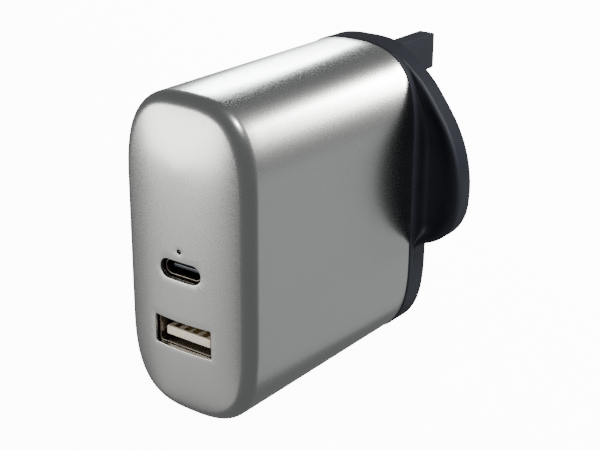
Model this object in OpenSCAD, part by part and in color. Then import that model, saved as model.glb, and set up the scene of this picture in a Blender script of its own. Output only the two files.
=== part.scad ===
// Wall charger with a fixed three-pin plug, one USB-C outlet and one USB-A outlet.
// Origin: middle of the line between the two live pins, on the plug's engagement face.
// +Y is the way the pins point, +X is to the right facing the outlets, +Z is up.

/* [Body] */
// Width of the body across its flat sides
body_w = 31; // [28:0.5:38]
// Height of the body
body_h = 65; // [60:0.5:80]
// Depth of the silver shell from its front edge to the seam, without the crown
shell_d = 54.5; // [52:0.5:68]
// Height of the body's middle below the live pins
body_drop = 2.5; // [0:0.1:5]
// Height over which the top and the bottom round into the flat sides
arch_h = 20; // [16:0.5:24]
// Squareness of that rounding, where 2 is an ellipse
arch_n = 2.9; // [2:0.1:4]
// How far the front face bulges
crown = 1.6; // [0.6:0.1:2.4]
// Radius of the rounded front edge
edge_r = 3.2; // [2.6:0.1:4]
// Wall of the shell's sides
wall = 2; // [1.6:0.1:2.4]
// Wall of the shell's front
front_wall = 1.7; // [1.4:0.1:2.2]

/* [Plug base] */
// Depth of the black band between the seam and the plug face
band_d = 6.4; // [6:0.1:9]
// How far the band stands proud of the shell
band_step = 0.2; // [0:0.05:0.4]
// Thickness of the plug base's wings
base_t = 5; // [4.6:0.1:6]
// Half the width of the plug base across its wings
base_half_w = 26.1; // [24:0.1:29]
// Radius of each wing's long outer curve
shoulder_r = 28; // [22:0.5:32]
// Height of that curve's centre above the live pins
shoulder_z = 0.4; // [0:0.1:4]
// Lean of the straight flank above the wing, from upright
flank_lean = 36; // [30:1:42]
// Radius of the wing's lower corner
heel_r = 11; // [6:0.5:14]
// Wall behind the plug face
base_wall = 2.4; // [2:0.1:3]
// Depth of the ring that plugs into the shell
spigot_d = 4; // [3:0.1:5]
// Thickness of that ring
spigot_t = 1.4; // [1.2:0.1:1.8]
// Clearance around that ring
spigot_gap = 0.1; // [0.05:0.05:0.2]
// Depth of the finger groove in each wing
groove_depth = 2.3; // [1.5:0.1:2.6]

/* [Pins] */
// Distance between the middles of the live pins
pin_pitch = 22.2; // [22.1:0.05:22.4]
// Width of a live pin
pin_w = 6.35; // [6.2:0.05:6.5]
// Thickness of a live pin
pin_t = 4; // [3.9:0.05:4.1]
// Length of a live pin beyond the plug face
pin_len = 17.7; // [17.2:0.1:18.2]
// Length of a live pin's sleeve beyond the plug face
sleeve_len = 9.2; // [8.5:0.1:9.5]
// Thickness of the sleeve
sleeve_t = 0.4; // [0.3:0.05:0.5]
// Height of the earth pin's middle above the live pins
earth_rise = 22.2; // [22.1:0.05:22.4]
// Width of the earth pin
earth_w = 4; // [3.9:0.05:4.1]
// Height of the earth pin
earth_h = 8; // [7.8:0.05:8.1]
// Length of the earth pin beyond the plug face
earth_len = 22.7; // [22.2:0.1:23.3]
// Clearance of a pin in its slot
pin_gap = 0.05; // [0.03:0.01:0.1]

/* [Outlets] */
// Height of the USB-C outlet above the body's middle
usb_c_z = -1.1; // [-3:0.1:1]
// Width of the USB-C opening in the shell
usb_c_open_w = 9.8; // [9.4:0.1:10.4]
// Height of the USB-C opening in the shell
usb_c_open_h = 3.8; // [3.5:0.1:4.2]
// Depth of the USB-C receptacle
usb_c_d = 10; // [8:0.5:12]
// Height of the USB-A outlet above the body's middle
usb_a_z = -14.6; // [-17:0.1:-12]
// Width of the USB-A opening in the shell
usb_a_open_w = 13.8; // [13.4:0.1:14.4]
// Height of the USB-A opening in the shell
usb_a_open_h = 5.8; // [5.7:0.1:6.4]
// Depth of the USB-A receptacle
usb_a_d = 14; // [13:0.5:17]
// Distance from the front face in to the receptacles' mouths
mouth_in = 1.2; // [1:0.1:1.6]
// Height of the status light above the body's middle
led_z = 2.9; // [2:0.1:6]
// Diameter of the status light's hole
led_hole = 1; // [0.8:0.1:1.5]

/* [Inside] */
// Thickness of the circuit board
board_t = 1.6; // [1.2:0.2:2]
// Room between the circuit board's upper or lower edge and the shell
board_room = 3.5; // [3:0.5:6]
// Height of the transformer, along the board
core_l = 17; // [14:0.5:18]
// Depth of the transformer
core_d = 14; // [12:0.5:15]
// Diameter of a bulk capacitor
bulk_d = 10; // [8:0.5:10.5]
// Diameter of an output capacitor
output_cap_d = 7; // [6.3:0.1:8]
// Room left between the tall parts and the insulating sheet
tall_room = 1.8; // [0.8:0.1:3]
// Thickness of the insulating sheet
sheet_t = 0.4; // [0.3:0.1:0.6]

/* [Hidden] */
$fn = 48;

// overlap that makes one solid of two touching shapes, and the overshoot of a cut
eps = 0.01;
cut = 1;

// body: y of its main planes, and the half sizes of its cavity
seam_y = -band_d;
edge_y = seam_y - shell_d;
apex_y = edge_y - crown;
cavity_front_y = edge_y + front_wall;
cavity_half_w = body_w / 2 - wall;
cavity_half_h = body_h / 2 - wall;
arch_steps = 16;
cap_steps = 5;

// plug base
heel_from = -7;
heel_to = -71;
base_top = body_h / 2 + band_step - body_drop;
shoulder_x = base_half_w - shoulder_r;
flank_off = shoulder_x * cos(flank_lean) + shoulder_z * sin(flank_lean) + shoulder_r;
brow_r = (flank_off - base_top * sin(flank_lean)) / (1 - sin(flank_lean));
boss_d = 5.6;
boss_t = 1.5;
neck_root_y = -base_wall - 2.8;
pin_root_y = -band_d - spigot_d + 1;
tail_w = 2.4;
tail_t = 1.2;
tail_in = 1.6;
earth_root_y = -base_wall - 2;
earth_flange = 1;

// outlets
usb_c_mouth_y = apex_y + mouth_in;
usb_a_mouth_y = apex_y + mouth_in;
usb_c_w = 8.94;
usb_c_h = 3.16;
usb_c_sheet = 0.3;
usb_a_w = 13;
usb_a_h = 5.6;
usb_a_sheet = 0.25;
usb_a_tongue_w = 11.1;
usb_a_tongue_t = 1.84;
usb_a_tongue_top = 0.2;
usb_a_tongue_y = usb_a_mouth_y + 0.85;
usb_a_block_d = 3.2;
usb_a_block_y = usb_a_mouth_y + usb_a_d - usb_a_block_d;
usb_c_tongue_w = 6.7;
usb_c_tongue_t = 0.7;
usb_c_tongue_y = usb_c_mouth_y + 1;
usb_c_block_d = 3;
usb_c_block_y = usb_c_mouth_y + usb_c_d - usb_c_block_d;
leg_t = 0.3;
leg_w = 1.2;
leg_gap = 0.15;

// springs of the USB-A outlet, and the slots that they move in
spring_x = [-3.5, -1, 1, 3.5];
spring_w = 1;
spring_t = 0.25;
spring_slot_gap = 0.15;
spring_root_y = usb_a_block_y - 0.3;
spring_root_z = usb_a_tongue_top - 0.44;
spring_bump = 0.8;
spring_tip_y = usb_a_tongue_y + 1;
spring_slot_floor = usb_a_tongue_top - 1.14;

// circuit board: its parts stand on the face towards +X
board_x = -usb_a_w / 2 - 0.4;
board_back_x = board_x - board_t;
board_front_y = usb_a_mouth_y + 4;
board_rear_y = -band_d - spigot_d - 2.2;
board_half_h = cavity_half_h - board_room;
rail_gap = 0.15;
rail_bite = 1.2;
sheet_x = cavity_half_w - 0.05 - sheet_t;
tall = sheet_x - tall_room - board_x;

// rows of parts: behind the outlets, middle and rear, and their heights on the board
part_gap = 0.6;
choke_d = 9.6;
rear_row_d = max(bulk_d, choke_d);
rear_row_y = board_rear_y - rear_row_d / 2 - 1;
mid_row_y = rear_row_y - rear_row_d / 2 - part_gap - core_d / 2;
front_row_y = board_front_y + output_cap_d / 2 + 0.6;
core_z = 4.5;

// --- shared shapes ---

// a point of the body's outline, grown outwards by g, at the angle t from the side
function outline_point(g, t) =
    let (a = body_w / 2 + g, rz = arch_h + g, c = cos(t), s = sin(t))
    let (x = a * sign(c) * pow(abs(c), 2 / arch_n), z = rz * pow(abs(s), 2 / arch_n))
    [x, sign(s) * (body_h / 2 - arch_h + z)];

function outline_points(g) = [
    for (half = [0, 180], k = [0 : 2 * arch_steps])
        let (t = 90 * k / arch_steps)
        if (k > 0 && k < 2 * arch_steps) outline_point(g, t + half)
        else [(body_w / 2 + g) * (k == 0 ? 1 : -1) * (half == 0 ? 1 : -1),
              (body_h / 2 - arch_h) * (half == 0 ? 1 : -1)]
];

function arc_points(x, z, r, from, to, n) = [
    for (k = [0 : n])
        let (t = from + (to - from) * k / n)
        [x + r * cos(t), z + r * sin(t)]
];

// extrudes an outline drawn in X and Z from one y to another
module slab(from_y, to_y) {
    translate([0, to_y, 0]) rotate([90, 0, 0]) linear_extrude(to_y - from_y) children();
}

module body_outline(g) {
    translate([0, -body_drop]) polygon(outline_points(g));
}

// a box from its low corner to its high corner
module block(low, high) {
    translate(low) cube(high - low);
}

// a cylinder that stands on the board
module post(y, z, d, h, x0 = board_x) {
    translate([x0, y, z - body_drop]) rotate([0, 90, 0]) cylinder(d = d, h = h);
}

// a box that stands on the board, centred at y and z
module brick(y, z, dy, dz, h, x0 = board_x) {
    translate([x0, y - dy / 2, z - dz / 2 - body_drop]) cube([h, dy, dz]);
}

// a box on the back of the board
module back_brick(y, z, dy, dz, h) {
    brick(y, z, dy, dz, h, board_back_x - h);
}

module rounded(w, h, r) {
    for (x = [-1, 1], z = [-1, 1]) translate([x * (w / 2 - r), z * (h / 2 - r)]) circle(r);
    square([w - 2 * r, h], center = true);
    square([w, h - 2 * r], center = true);
}

module stadium(w, h) {
    for (x = [-1, 1]) translate([x * (w - h) / 2, 0]) circle(d = h);
    square([w - h, h], center = true);
}

// the crowned, round-edged block that the body's outline makes
module capped_body(g, from_y, to_y) {
    r = edge_r + g;
    hull() {
        for (k = [0 : cap_steps]) {
            t = 90 * k / cap_steps;
            y = from_y + r - r * sin(t);
            slab(y, y + eps) body_outline(g - r + r * cos(t));
        }
        for (k = [1 : cap_steps]) {
            u = 1 - k / (cap_steps + 1);
            y = from_y - crown * (1 - u * u);
            slab(y, y + eps) body_outline(g - r - (body_w / 2 - r + g) * (1 - u));
        }
    }
    slab(from_y + r, to_y) body_outline(g);
}

// --- enclosure ---

module usb_c_opening(from_y, to_y) {
    slab(from_y, to_y)
        translate([0, usb_c_z - body_drop]) stadium(usb_c_open_w, usb_c_open_h);
}

module usb_a_opening(from_y, to_y) {
    slab(from_y, to_y)
        translate([0, usb_a_z - body_drop]) square([usb_a_open_w, usb_a_open_h], center = true);
}

module main_shell() {
    color("#a9a9a4") board_rails();
    color("#a9a9a4") difference() {
        capped_body(0, edge_y, seam_y);
        capped_body(-wall, cavity_front_y, seam_y + cut);
        usb_c_opening(apex_y - cut, cavity_front_y + cut);
        usb_a_opening(apex_y - cut, cavity_front_y + cut);
        translate([0, cavity_front_y + cut, led_z - body_drop])
            rotate([90, 0, 0]) cylinder(d = led_hole, h = crown + front_wall + 2 * cut);
    }
}

// rails at the top and the bottom of the shell, which hold the board by its edges
module board_rails() {
    lip = 1.3;
    for (side = [-1, 1]) intersection() {
        slab(board_front_y - 1, board_rear_y - rail_gap) body_outline(-wall / 2);
        translate([0, 0, -body_drop]) mirror([0, 0, side < 0 ? 1 : 0]) difference() {
            block([board_back_x - lip, -shell_d - band_d, board_half_h - rail_bite],
                  [board_x + lip, 0, body_h / 2]);
            block([board_back_x - rail_gap, board_front_y - rail_gap, 0],
                  [board_x + rail_gap, cut, board_half_h + rail_gap]);
        }
    }
}

function wing_points(side) = [
    for (p = concat(
        arc_points(0, base_top - brow_r, brow_r, 90, flank_lean, 12),
        arc_points(shoulder_x, shoulder_z, shoulder_r, flank_lean, heel_from, 14),
        arc_points(shoulder_x + (shoulder_r - heel_r) * cos(heel_from),
                   shoulder_z + (shoulder_r - heel_r) * sin(heel_from),
                   heel_r, heel_from, heel_to, 8)
    )) [side * p[0], p[1]]
];

// the wings' outline: it ends inside the body, below the wings
module base_outline() {
    right = wing_points(1);
    left = wing_points(-1);
    heel = right[len(right) - 1];
    run = heel[0] - body_w / 2 + wall;
    foot = [heel[0] - run, heel[1] - run * tan(heel_to + 90)];
    polygon(concat(right, [foot, [-foot[0], foot[1]]], [for (k = [len(left) - 1 : -1 : 1]) left[k]]));
}

// the hollow that a finger grips in: a tapered groove beside the band
module finger_groove(side) {
    low_r = 5.4;
    high_r = 2;
    low = [body_w / 2 + low_r + 0.2, -base_t - low_r + groove_depth, -body_drop - 16];
    high = [body_w / 2 + 0.3, -base_t - high_r + groove_depth / 2, base_top - 4];
    run = [high[0] - low[0], high[1] - low[1], high[2] - low[2]];
    length = norm(run);
    mirror([side < 0 ? 1 : 0, 0, 0]) translate(low)
        rotate([0, acos(run[2] / length), atan2(run[1], run[0])])
        cylinder(h = length, r1 = low_r, r2 = high_r);
}

module pin_slot(x, from_y, to_y, w, t) {
    block([x - w / 2, from_y, -t / 2], [x + w / 2, to_y, t / 2]);
}

module rear_cover() {
    neck_w = pin_w - 2 * sleeve_t + 2 * pin_gap;
    neck_t = pin_t - 2 * sleeve_t + 2 * pin_gap;
    color("#1b1c20") difference() {
        union() {
            slab(-band_d, 0) body_outline(band_step);
            difference() {
                slab(-base_t, 0) base_outline();
                for (side = [-1, 1]) finger_groove(side);
            }
            slab(-band_d - spigot_d, -band_d + eps) body_outline(-wall - spigot_gap);
        }
        slab(-band_d - spigot_d - cut, -base_wall) difference() {
            body_outline(-wall - spigot_gap - spigot_t);
            for (x = [-1, 1])
                translate([x * pin_pitch / 2, 0])
                    square([pin_w + 2 * boss_t, pin_t + 2 * boss_t], center = true);
        }
        // the pins' bosses stop short of the board
        for (x = [-1, 1])
            block([x * pin_pitch / 2 - pin_w, -band_d - spigot_d - cut, -pin_t - boss_t],
                  [x * pin_pitch / 2 + pin_w, -base_wall - boss_d, pin_t + boss_t]);
        for (side = [-1, 1]) {
            x = side * pin_pitch / 2;
            pin_slot(x, neck_root_y - pin_gap, cut, neck_w, neck_t);
            pin_slot(x, -1 - pin_gap, cut, pin_w + 2 * pin_gap, pin_t + 2 * pin_gap);
            pin_slot(x - side * tail_in, -band_d - spigot_d, neck_root_y,
                     tail_w + 2 * pin_gap, tail_t + 2 * pin_gap);
        }
        block([-earth_w / 2 - pin_gap, -base_wall - cut, earth_rise - earth_h / 2 - pin_gap],
              [earth_w / 2 + pin_gap, cut, earth_rise + earth_h / 2 + pin_gap]);
        // room for the earth pin's flange beside a thick spigot
        block([-earth_w / 2 - earth_flange - pin_gap, -band_d - spigot_d - cut,
               earth_rise - earth_h / 2 - earth_flange - pin_gap],
              [earth_w / 2 + earth_flange + pin_gap, -base_wall, earth_rise + earth_h / 2 + pin_gap]);
    }
    // ribs that stop the board from sliding back
    color("#1b1c20") for (side = [-1, 1]) intersection() {
        slab(board_rear_y + rail_gap, -band_d) body_outline(-wall - spigot_gap);
        translate([0, 0, -body_drop]) mirror([0, 0, side < 0 ? 1 : 0])
            block([board_back_x, -shell_d, board_half_h - 3], [board_x, 0, body_h / 2]);
    }
}

// --- pins ---

module earth_pin() {
    tip = 0.5;
    color("#17181b") {
        hull() {
            block([-earth_w / 2, -base_wall - eps, earth_rise - earth_h / 2],
                  [earth_w / 2, earth_len - tip, earth_rise + earth_h / 2]);
            block([-earth_w / 2 + tip / 2, earth_len - eps, earth_rise - earth_h / 2 + tip],
                  [earth_w / 2 - tip / 2, earth_len, earth_rise + earth_h / 2 - tip]);
        }
        // the flange that seats on the inside of the plug face
        block([-earth_w / 2 - earth_flange, earth_root_y, earth_rise - earth_h / 2 - earth_flange],
              [earth_w / 2 + earth_flange, -base_wall, earth_rise + earth_h / 2]);
    }
}

// a live pin: a solid end, a neck for the sleeve, and a tail set in towards the middle
module live_pin(side) {
    x = side * pin_pitch / 2;
    tip = 1;
    neck_w = pin_w - 2 * sleeve_t;
    neck_t = pin_t - 2 * sleeve_t;
    color("#c9a45a") {
        pin_slot(x - side * tail_in, pin_root_y, neck_root_y + eps, tail_w, tail_t);
        pin_slot(x, neck_root_y, sleeve_len + eps, neck_w, neck_t);
        pin_slot(x, sleeve_len, pin_len - tip, pin_w, pin_t);
        hull() {
            pin_slot(x, pin_len - tip - eps, pin_len - tip, pin_w, pin_t);
            pin_slot(x, pin_len - eps, pin_len, pin_w - 2 * tip, pin_t - 2 * tip);
        }
    }
}

module line_pin() {
    live_pin(1);
}

module neutral_pin() {
    live_pin(-1);
}

module pin_sleeve(x) {
    color("#141519") difference() {
        pin_slot(x, -1, sleeve_len - pin_gap, pin_w, pin_t);
        pin_slot(x, -1 - cut, sleeve_len + cut, pin_w - 2 * sleeve_t + 0.02, pin_t - 2 * sleeve_t + 0.02);
    }
}

module line_pin_sleeve() {
    pin_sleeve(pin_pitch / 2);
}

module neutral_pin_sleeve() {
    pin_sleeve(-pin_pitch / 2);
}

// strip from a pin's root to a pad on the board
strip_t = 0.4;
strip_w = 2.4;

module line_contact() {
    foot_z = 8;
    tail_x = pin_pitch / 2 - tail_in;
    color("#b9894a") {
        block([tail_x - tail_w / 2, pin_root_y - strip_t, -strip_w / 2],
              [tail_x + tail_w / 2, pin_root_y, foot_z + strip_w / 2]);
        block([board_x, pin_root_y - strip_t, foot_z - strip_w / 2],
              [tail_x, pin_root_y, foot_z + strip_w / 2]);
        block([board_x, board_rear_y - 2, foot_z - strip_w / 2],
              [board_x + strip_t, pin_root_y - eps, foot_z + strip_w / 2]);
    }
}

module neutral_contact() {
    color("#b9894a") {
        block([-pin_pitch / 2 + tail_in - tail_w / 2, pin_root_y - strip_t, -strip_w / 2],
              [board_back_x, pin_root_y, strip_w / 2]);
        block([board_back_x - strip_t, board_rear_y - 2, -strip_w / 2],
              [board_back_x, pin_root_y - eps, strip_w / 2]);
    }
}

// --- outlets ---

// where the receptacles' legs pass through the board
module shell_legs(mouth_y, depth, z, half_w, g) {
    for (y = [mouth_y + 5.5, mouth_y + depth - 1.5])
        block([board_back_x - 0.6 - g, y - leg_w / 2 - g, z - body_drop - leg_t / 2 - g],
              [-half_w + eps, y + leg_w / 2 + g, z - body_drop + leg_t / 2 + g]);
}

module usb_c_legs(g) {
    shell_legs(usb_c_mouth_y, usb_c_d, usb_c_z, usb_c_w / 2, g);
}

module usb_a_legs(g) {
    for (z = [-1, 1])
        shell_legs(usb_a_mouth_y, usb_a_d, usb_a_z + z * (usb_a_h / 2 - leg_t), usb_a_w / 2, g);
}

module usb_c_shell() {
    color("#b4b8bb") {
        difference() {
            slab(usb_c_mouth_y, usb_c_mouth_y + usb_c_d)
                translate([0, usb_c_z - body_drop]) stadium(usb_c_w, usb_c_h);
            slab(usb_c_mouth_y - cut, usb_c_mouth_y + usb_c_d + cut)
                translate([0, usb_c_z - body_drop])
                stadium(usb_c_w - 2 * usb_c_sheet, usb_c_h - 2 * usb_c_sheet);
        }
        usb_c_legs(0);
    }
}

module usb_c_tongue() {
    gap = 0.03;
    z = usb_c_z - body_drop;
    inner_w = usb_c_w - 2 * usb_c_sheet - 2 * gap;
    inner_h = usb_c_h - 2 * usb_c_sheet - 2 * gap;
    color("#26272c") difference() {
        union() {
            slab(usb_c_tongue_y, usb_c_block_y + eps)
                translate([0, z]) rounded(usb_c_tongue_w, usb_c_tongue_t, 0.3);
            slab(usb_c_block_y - 2.6, usb_c_block_y + eps)
                translate([0, z]) rounded(usb_c_tongue_w + 0.6, usb_c_tongue_t + 0.5, 0.4);
            slab(usb_c_block_y, usb_c_mouth_y + usb_c_d - gap) translate([0, z]) stadium(inner_w, inner_h);
        }
        usb_c_contact_blocks(0);
    }
}

// twelve contacts on each face of the tongue, let in flush
module usb_c_contact_blocks(g) {
    pitch = 0.5;
    contact_w = 0.25;
    contact_t = 0.1;
    for (side = [-1, 1], k = [0 : 11])
        translate([(k - 5.5) * pitch, 0, usb_c_z - body_drop + side * (usb_c_tongue_t / 2 - contact_t / 2)])
            block([-contact_w / 2 - g, usb_c_tongue_y + 0.8, -contact_t / 2 - g],
                  [contact_w / 2 + g, usb_c_block_y - 2.6, contact_t / 2 + g]);
}

module usb_c_contacts() {
    color("#d8b45c") usb_c_contact_blocks(0);
}

module usb_a_shell() {
    leaf_w = 2.2;
    leaf_d = 4.5;
    z = usb_a_z - body_drop;
    color("#b4b8bb") {
        difference() {
            slab(usb_a_mouth_y, usb_a_mouth_y + usb_a_d)
                translate([0, z]) rounded(usb_a_w, usb_a_h, 0.5);
            slab(usb_a_mouth_y - cut, usb_a_mouth_y + usb_a_d + cut)
                translate([0, z]) rounded(usb_a_w - 2 * usb_a_sheet, usb_a_h - 2 * usb_a_sheet, 0.25);
            // slots around the leaves that hold a plug in
            for (x = [-3, 3], slot = [-1, 1])
                block([x + slot * leaf_w / 2 - 0.2, usb_a_mouth_y + 2.4, z - usb_a_h],
                      [x + slot * leaf_w / 2 + 0.2, usb_a_mouth_y + 2.4 + leaf_d, z + usb_a_h]);
            for (x = [-3, 3])
                block([x - leaf_w / 2, usb_a_mouth_y + 2.4, z - usb_a_h],
                      [x + leaf_w / 2, usb_a_mouth_y + 2.8, z + usb_a_h]);
        }
        usb_a_legs(0);
    }
}

module usb_a_tongue() {
    gap = 0.03;
    z = usb_a_z - body_drop;
    color("#e9dfcd") difference() {
        union() {
            block([-usb_a_tongue_w / 2, usb_a_tongue_y, z + usb_a_tongue_top - usb_a_tongue_t],
                  [usb_a_tongue_w / 2, usb_a_block_y + eps, z + usb_a_tongue_top]);
            slab(usb_a_block_y, usb_a_mouth_y + usb_a_d - gap) translate([0, z])
                rounded(usb_a_w - 2 * usb_a_sheet - 2 * gap, usb_a_h - 2 * usb_a_sheet - 2 * gap, 0.25);
        }
        // slots that the springs move in, and the way through the block for their tails
        for (x = spring_x) {
            block([x - spring_w / 2 - spring_slot_gap, usb_a_tongue_y + 0.5, z + spring_slot_floor],
                  [x + spring_w / 2 + spring_slot_gap, usb_a_block_y, z + 1]);
            block([x - spring_w / 2, usb_a_block_y - eps, z + spring_root_z - spring_t / 2],
                  [x + spring_w / 2, usb_a_mouth_y + usb_a_d, z + spring_root_z + spring_t / 2]);
        }
    }
}

// one spring, seen from the side: a slim arm that rises to a bump and turns down at its tip
function spring_side() =
    let (h = spring_t / 2, bump_y = spring_tip_y + 1.4)
    let (line = [[spring_root_y, spring_root_z], [bump_y + 0.5, spring_root_z + spring_bump],
                 [bump_y - 0.3, spring_root_z + spring_bump], [spring_tip_y, spring_root_z + 0.1]])
    concat([for (p = line) [p[0], p[1] + h]], [for (k = [3 : -1 : 0]) [line[k][0], line[k][1] - h]]);

module usb_a_contacts() {
    z = usb_a_z - body_drop;
    color("#d8b45c") for (x = spring_x)
        translate([x - spring_w / 2, 0, z])
            rotate([90, 0, 90]) linear_extrude(spring_w) polygon(spring_side());
}

module usb_a_contact_tails() {
    z = usb_a_z - body_drop;
    rear = usb_a_mouth_y + usb_a_d;
    color("#d8b45c") for (k = [0 : 3]) {
        x = spring_x[k];
        drop = 0.9 + 0.5 * k;
        block([x - spring_w / 2, usb_a_block_y, z + spring_root_z - spring_t / 2],
              [x + spring_w / 2, rear + drop, z + spring_root_z + spring_t / 2]);
        block([board_x, rear + drop - spring_t, z + spring_root_z - spring_t / 2],
              [x - spring_w / 2 + eps, rear + drop, z + spring_root_z + spring_t / 2]);
    }
}

module light_pipe() {
    z = led_z - body_drop;
    rod = led_hole - 0.1;
    bar = 1.8;
    color("#e8ecef", 0.6) {
        translate([0, board_front_y, z]) rotate([90, 0, 0])
            cylinder(d = rod, h = board_front_y - apex_y - 0.5);
        block([board_x + 0.9, board_front_y, z - bar / 2], [rod / 2, board_front_y + bar, z + bar / 2]);
    }
}

module status_led() {
    color("#f2f4e8") brick(board_front_y + 0.9, led_z, 1.6, 0.8, 0.7);
}

// --- transformer: its winding axis stands on the board ---

core_h = tall;
core_plate = 2.4;
core_leg = 2.6;
core_post_d = 6.4;
core_lift = 0.8;
core_split = 0.1;
bobbin_wall = 0.7;
bobbin_gap = 0.1;
core_window = core_l - 2 * core_leg;
window_h = core_h - core_lift - 2 * core_plate;

module transformer_core() {
    color("#3a3b3f") difference() {
        union() {
            for (top = [0, 1])
                brick(mid_row_y, core_z, core_d, core_l, core_plate,
                      board_x + core_lift + top * (core_h - core_lift - core_plate));
            for (s = [-1, 1])
                brick(mid_row_y, core_z + s * (core_l - core_leg) / 2, core_d, core_leg,
                      core_h - core_lift, board_x + core_lift);
            post(mid_row_y, core_z, core_post_d, core_h - core_lift, board_x + core_lift);
        }
        brick(mid_row_y, core_z, core_d + cut, core_l + cut, core_split,
              board_x + core_lift + (core_h - core_lift - core_split) / 2);
    }
}

module transformer_bobbin() {
    bore = core_post_d + 2 * bobbin_gap;
    flange = core_window - 0.4;
    x0 = board_x + core_lift + core_plate + 0.1;
    h = window_h - 0.2;
    color("#2c2a29") difference() {
        union() {
            post(mid_row_y, core_z, bore + 2 * bobbin_wall, h, x0);
            post(mid_row_y, core_z, flange, bobbin_wall, x0);
            post(mid_row_y, core_z, flange, bobbin_wall, x0 + h - bobbin_wall);
        }
        post(mid_row_y, core_z, bore, h + 2 * cut, x0 - cut);
    }
}

module winding_ring(inner, outer, room) {
    x0 = board_x + core_lift + core_plate + 0.1 + bobbin_wall + room;
    h = window_h - 0.2 - 2 * bobbin_wall - 2 * room;
    difference() {
        post(mid_row_y, core_z, outer, h, x0);
        post(mid_row_y, core_z, inner, h + 2 * cut, x0 - cut);
    }
}

winding_in = core_post_d + 2 * bobbin_gap + 2 * bobbin_wall + 0.06;
winding_out = core_window - 1.2;

module transformer_winding() {
    color("#b06a32") winding_ring(winding_in, winding_out, 0.1);
}

module transformer_tape() {
    color("#d9b43a") winding_ring(winding_out + 0.06, winding_out + 0.4, 0.15);
}

// --- other parts on the board ---

// a round capacitor: a can with a groove near its base
module round_capacitor(y, z, d, h) {
    groove_x = 1.6;
    groove_r = 0.5;
    translate([board_x, y, z - body_drop]) rotate([0, 90, 0]) difference() {
        cylinder(d = d, h = h);
        translate([0, 0, groove_x]) rotate_extrude() translate([d / 2 + groove_r / 4, 0]) circle(groove_r);
    }
}

module bulk_capacitors() {
    color("#2b3f63") for (k = [0 : 2])
        round_capacitor(rear_row_y, -board_half_h + bulk_d / 2 + rail_bite + part_gap + k * (bulk_d + part_gap), bulk_d, tall);
}

module output_capacitors() {
    color("#c8ccd0") for (k = [0 : 1])
        round_capacitor(front_row_y, board_half_h - output_cap_d / 2 - rail_bite - part_gap - k * (output_cap_d + part_gap),
                        output_cap_d, tall - 5);
}

x_cap_h = 12;
x_cap_t = 6;
x_cap_z = board_half_h - x_cap_t / 2 - rail_bite - part_gap;

module x_capacitor() {
    color("#d6b52c") brick(rear_row_y, x_cap_z, bulk_d, x_cap_t, x_cap_h);
}

choke_t = 4;
choke_x = board_x + 1.2;
choke_z = x_cap_z - x_cap_t / 2 - part_gap - choke_d / 2 - 0.7;

module choke_ring(inner, outer, t) {
    x0 = choke_x + (choke_t - t) / 2;
    difference() {
        post(rear_row_y, choke_z, outer, t, x0);
        post(rear_row_y, choke_z, inner, t + 2 * cut, x0 - cut);
    }
}

module choke_core() {
    color("#3f4a45") choke_ring(4.6, choke_d - 1.6, choke_t - 1.4);
}

// two windings that wrap the ring, with a gap between them at the top and the bottom
module choke_windings() {
    color("#b5642c") difference() {
        choke_ring(3.2, choke_d, choke_t);
        choke_ring(4.5, choke_d - 1.5, choke_t - 1.3);
        brick(rear_row_y, choke_z, 1.6, choke_d + cut, choke_t + 2 * cut, choke_x - cut);
    }
}

// the fuse and the varistor stand above the transformer
upper_z = core_z + core_l / 2 + part_gap;

module input_fuse() {
    fuse_d = 4;
    color("#8a5a3c") post(mid_row_y - core_d / 2 + fuse_d / 2, upper_z + fuse_d / 2, fuse_d, 8);
}

module varistor() {
    disc_d = 7;
    disc_t = 3.4;
    translate([board_x + disc_d / 2 + 0.4, mid_row_y + core_d / 2 - disc_t, upper_z + disc_d / 2 - body_drop])
        color("#2f6fb0") {
            rotate([-90, 0, 0]) cylinder(d = disc_d, h = disc_t);
            block([-disc_d / 2 - 0.4, 0.8, -disc_d / 4], [0, disc_t - 0.8, disc_d / 4]);
        }
}

module inrush_thermistor() {
    disc_d = 5;
    disc_t = 2.6;
    translate([board_x + disc_d / 2 + 0.4, mid_row_y - disc_t / 2, upper_z + disc_d / 2 - body_drop])
        color("#3c4a34") {
            rotate([-90, 0, 0]) cylinder(d = disc_d, h = disc_t);
            block([-disc_d / 2 - 0.4, 0.6, -disc_d / 4], [0, disc_t - 0.6, disc_d / 4]);
        }
}

// the parts that bridge the two sides stand below the transformer
lower_z = core_z - core_l / 2 - part_gap;

module y_capacitor() {
    disc_d = 7;
    disc_t = 3;
    translate([board_x + disc_d / 2 + 0.4, mid_row_y + 2, lower_z - disc_d / 2 - body_drop])
        color("#4f86c0") {
            rotate([-90, 0, 0]) cylinder(d = disc_d, h = disc_t);
            block([-disc_d / 2 - 0.4, 0.7, -disc_d / 4], [0, disc_t - 0.7, disc_d / 4]);
        }
}

module optocoupler() {
    color("#202124") brick(mid_row_y - 3, lower_z - 2.6, 6.5, 4.6, 3.4);
}

module output_inductor() {
    color("#55585c") brick(front_row_y + 1.5, usb_a_z - usb_a_h / 2 - 4.2, 6.6, 6.6, 4.2);
}

module output_rectifier() {
    color("#1f2023") brick(usb_a_mouth_y + usb_c_d + 3, usb_c_z, 5, 6, 1.1);
}

module usb_controller() {
    color("#1f2023") brick(front_row_y + 1, led_z + 5, 4, 4, 0.9);
}

// --- back of the board ---

module bridge_rectifier() {
    color("#1d1e21") back_brick(rear_row_y, spreader_l / 2 + 7.5, 6.5, 8, 1.9);
}

module power_switch() {
    color("#1d1e21") back_brick(mid_row_y, 2, 6, 8, switch_h);
}

module primary_controller() {
    color("#1d1e21") back_brick(mid_row_y, -9, 5, 5, 1.4);
}

module chip_resistors() {
    color("#222326") for (k = [0 : 5])
        back_brick(mid_row_y - 6 + 2.4 * k, -14.5, 1.25, 2, 0.5);
}

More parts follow.
